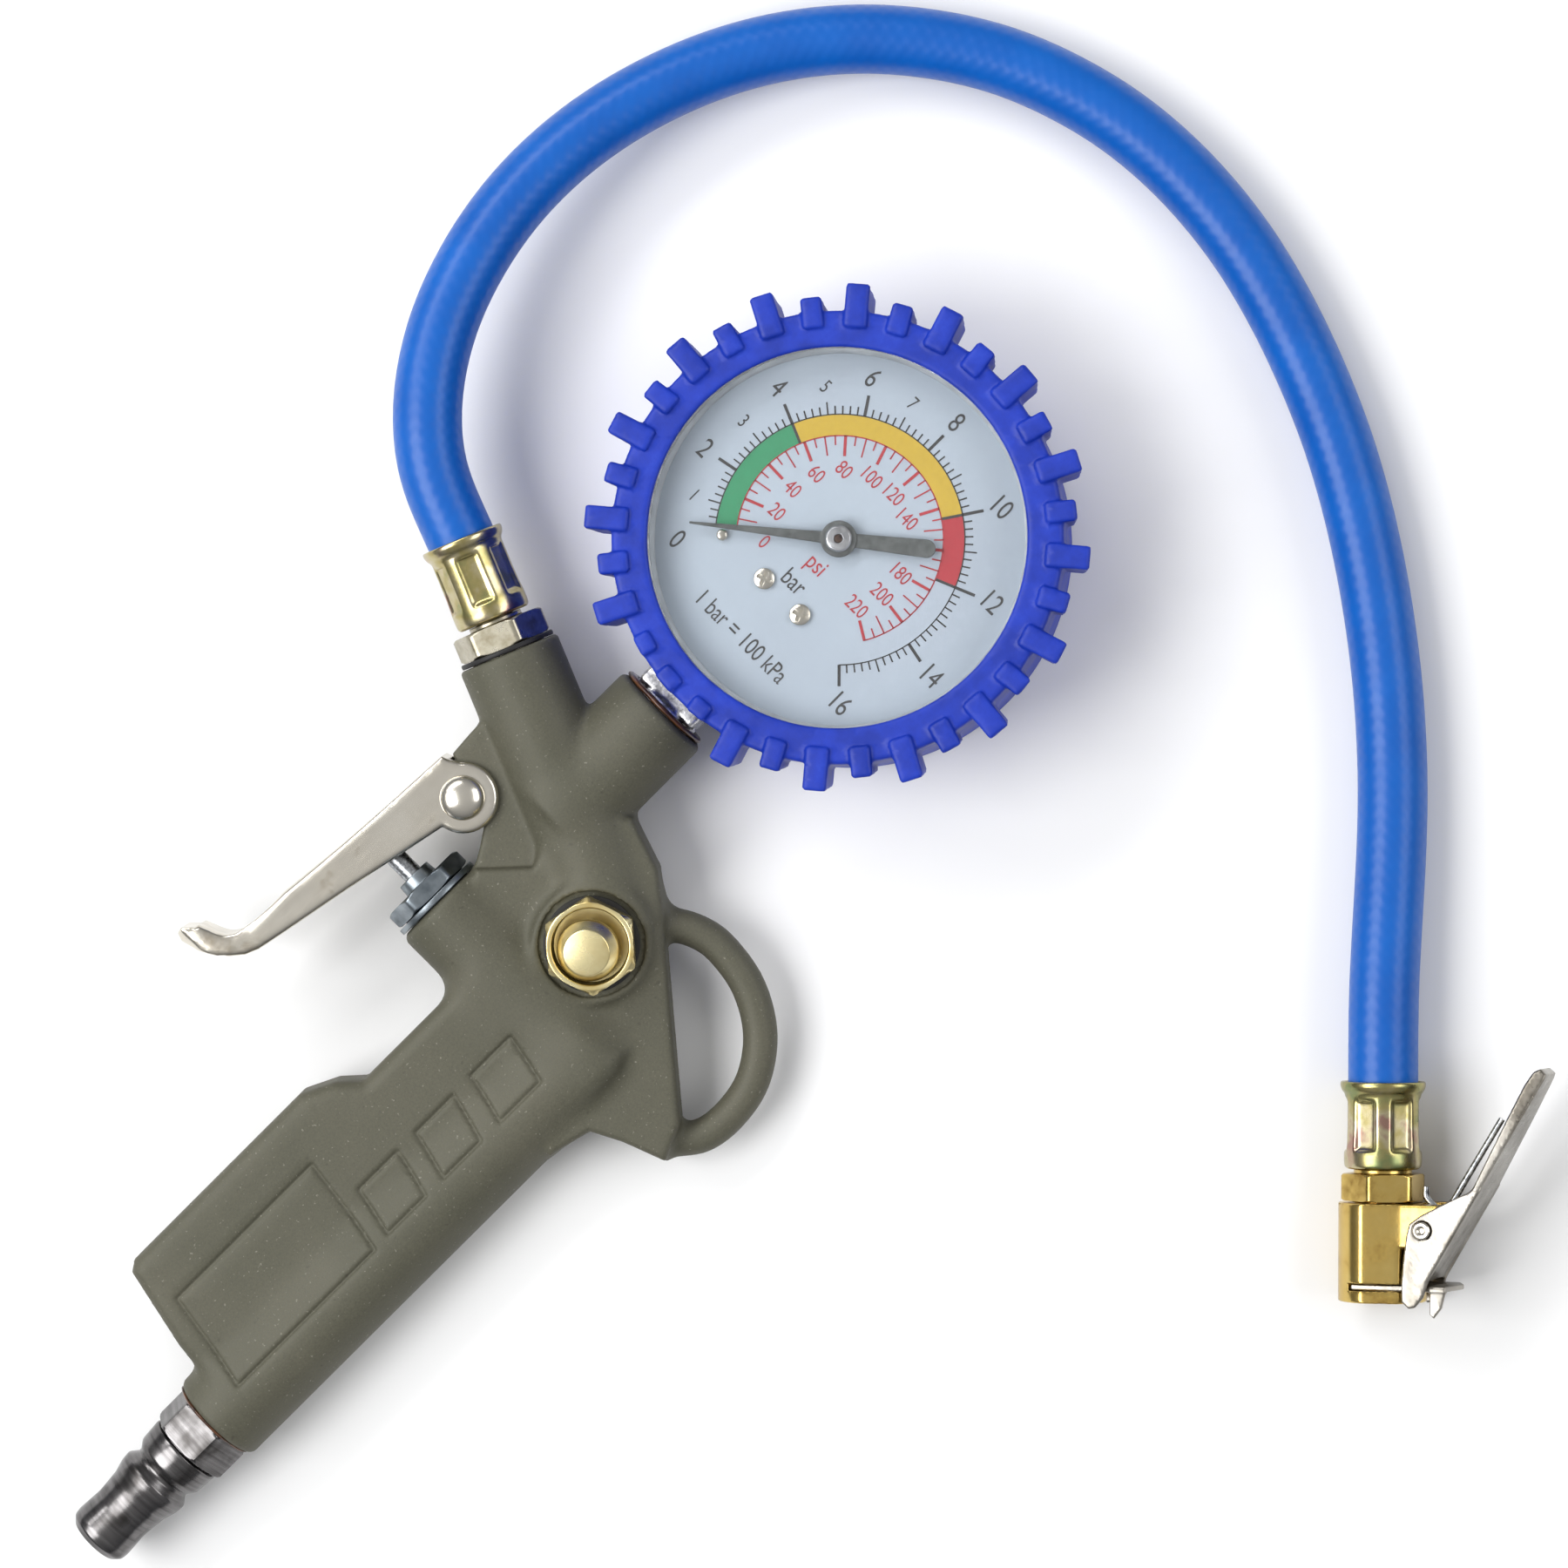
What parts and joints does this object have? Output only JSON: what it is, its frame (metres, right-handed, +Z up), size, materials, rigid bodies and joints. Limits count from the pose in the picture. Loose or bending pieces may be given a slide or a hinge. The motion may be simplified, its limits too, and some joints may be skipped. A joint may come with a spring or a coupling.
{
  "type": "tyre inflator with gauge",
  "caption": "Hand-held tyre inflator: cast pistol grip with trigger valve, hanging hook, bleed button, round dial gauge in a rubber boot, and a short hose with a clip-on lever chuck.",
  "frame": {"origin": "on the ground, under the middle of the gun and gauge as they lie on their side, without the hose", "axes": "+X along the gun from the air inlet to the gauge, +Y towards the trigger, +Z up out of the dial"},
  "size_m": [0.296, 0.2443, 0.0308],
  "materials": {
    "cast_body": "olive-grey hammered paint over a die-cast alloy, satin",
    "plug_steel": "dark polished nickel on turned steel",
    "nickel_steel": "nickel-plated pressed steel, soft shine",
    "dark_steel": "darkened turned steel",
    "nickel_brass": "nickel-plated brass, machined",
    "zinc_ferrule": "crimped steel, yellow iridescent zinc",
    "brass": "turned brass, bright",
    "black_rubber": "matt black rubber",
    "blue_rubber": "royal blue moulded rubber, satin",
    "hose_blue": "bright blue hose, glossy",
    "case_steel": "grey drawn steel cup with a silver rim",
    "dial_face": "pale printed sheet dial",
    "pointer_grey": "dark grey matt paint",
    "lens": "clear flat glass",
    "spring_steel": "drawn spring wire"
  },
  "bodies": {
    "gun_and_gauge": {"gun_body": "cast_body", "inlet_plug": "plug_steel", "trigger_rivet": "nickel_steel", "valve_gland_nut": "dark_steel", "gland_washer": "black_rubber", "stem_o_ring": "black_rubber", "valve_seat": "brass", "valve_spring": "spring_steel", "bleed_bushing": "brass", "bleed_washer": "dark_steel", "bleed_spring": "spring_steel", "hose_fitting": "nickel_brass", "hose_fitting_seal": "black_rubber", "hose_ferrule_gun": "zinc_ferrule", "gauge_socket": "brass", "gauge_seal": "black_rubber", "gauge_case": "case_steel", "gauge_boot": "blue_rubber", "gauge_lens": "lens", "gauge_dial": "dial_face", "dial_screw_left": "nickel_steel", "dial_screw_right": "nickel_steel", "dial_stop_pin": "nickel_steel", "bourdon_tube": "brass", "movement_back_plate": "brass", "movement_front_plate": "brass", "hairspring": "spring_steel", "hose": "hose_blue", "hose_ferrule_chuck": "zinc_ferrule", "chuck_tail": "brass", "chuck_body": "brass", "chuck_seal": "black_rubber", "chuck_depressor": "brass", "chuck_lever_pin": "nickel_steel", "chuck_spring": "spring_steel"},
    "trigger": {"trigger_lever": "nickel_steel"},
    "valve_stem": {"valve_stem": "nickel_steel", "valve_poppet_seal": "black_rubber"},
    "bleed_button": {"bleed_button": "brass", "bleed_seal": "black_rubber"},
    "sector": {"sector_gear": "brass"},
    "pointer": {"gauge_pointer": "pointer_grey", "pointer_bush": "nickel_steel", "pointer_arbor": "brass"},
    "link": {"gauge_link": "brass"},
    "chuck_lever": {"chuck_lever": "nickel_steel"},
    "chuck_jaw": {"chuck_jaw": "nickel_steel"}
  },
  "joints": [
    {"name": "trigger_pivot", "type": "hinge", "parent": "gun_and_gauge", "child": "trigger", "pos_m": [0.00764, 0.01823, 0.01377], "axis": [0, -0.1045, 0.9945], "range_deg": [0, 11], "stiffness_Nm_per_rad": 0.5, "springref_deg": -17.19},
    {"name": "valve_stem_slide", "type": "slide", "parent": "gun_and_gauge", "child": "valve_stem", "axis": [0, -0.9945, -0.1045], "range_m": [0, 0.00287], "deforming": ["valve_spring"]},
    {"name": "bleed_slide", "type": "slide", "parent": "gun_and_gauge", "child": "bleed_button", "axis": [0, 0.1045, -0.9945], "range_m": [0, 0.0022], "stiffness_N_per_m": 800, "springref_m": -0.0008, "deforming": ["bleed_spring"]},
    {"name": "sector_pivot", "type": "hinge", "parent": "gun_and_gauge", "child": "sector", "pos_m": [0.07154, 0.0138, 0.0194], "axis": [0, 0, 1], "range_deg": [0, 29.17], "stiffness_Nm_per_rad": 0.01},
    {"name": "pointer_pivot", "type": "hinge", "parent": "gun_and_gauge", "child": "pointer", "pos_m": [0.08214, 0.0032, 0.0244], "axis": [0, 0, 1], "range_deg": [-262.6, 0], "deforming": ["hairspring"]},
    {"name": "link_slide", "type": "slide", "parent": "gun_and_gauge", "child": "link", "axis": [0.6397, 0.7686, 0], "range_m": [0, 0.00254], "deforming": ["bourdon_tube"]},
    {"name": "chuck_lever_pivot", "type": "hinge", "parent": "gun_and_gauge", "child": "chuck_lever", "pos_m": [0.07117, -0.14487, 0.00941], "axis": [-0.1711, 0.1711, 0.9703], "range_deg": [0, 16], "stiffness_Nm_per_rad": 0.3, "springref_deg": -11.46, "deforming": ["chuck_spring"]},
    {"name": "chuck_jaw_slide", "type": "slide", "parent": "gun_and_gauge", "child": "chuck_jaw", "axis": [0.6861, -0.6861, 0.2419], "range_m": [0, 0.00269]}
  ],
  "couplings": [
    {"joint": "trigger_pivot", "follows": "valve_stem_slide", "rad_per_m": 66.667},
    {"joint": "sector_pivot", "follows": "link_slide", "rad_per_m": 200},
    {"joint": "pointer_pivot", "follows": "link_slide", "rad_per_m": -1800},
    {"joint": "chuck_lever_pivot", "follows": "chuck_jaw_slide", "rad_per_m": 103.63}
  ]
}
